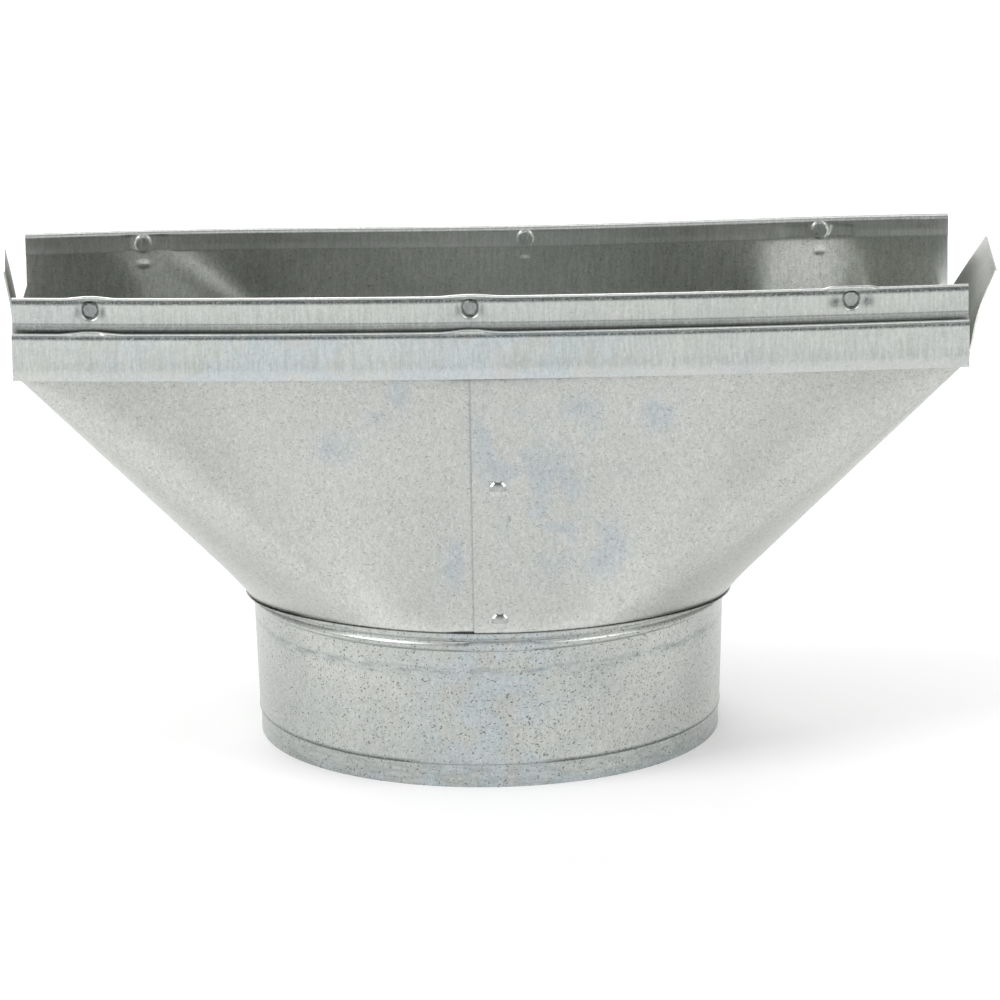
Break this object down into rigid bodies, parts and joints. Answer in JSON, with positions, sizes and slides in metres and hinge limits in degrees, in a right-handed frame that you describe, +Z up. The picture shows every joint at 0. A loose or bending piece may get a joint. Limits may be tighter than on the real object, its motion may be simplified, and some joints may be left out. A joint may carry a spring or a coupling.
{
  "type": "stack boot",
  "caption": "Galvanised sheet-metal duct boot from a rectangular mouth with lock strips down to a round collar.",
  "frame": {"origin": "on the resting plane at the collar's rim, under the middle of the fitting's overall width and depth", "axes": "+X along the mouth's long side, +Y to the rear long wall, +Z up from the round collar to the mouth"},
  "size_m": [0.2727, 0.1326, 0.1337],
  "materials": {
    "galvanised_sheet": "mill galvanised sheet steel, satin with fine grain and specks",
    "zinc_rivet": "zinc plated, slightly glossy"
  },
  "bodies": {
    "root": {"body": "galvanised_sheet", "collar": "galvanised_sheet", "front_lock_strip": "galvanised_sheet", "rear_lock_strip": "galvanised_sheet", "seam_rivet_lower": "zinc_rivet", "seam_rivet_upper": "zinc_rivet"}
  },
  "joints": []
}
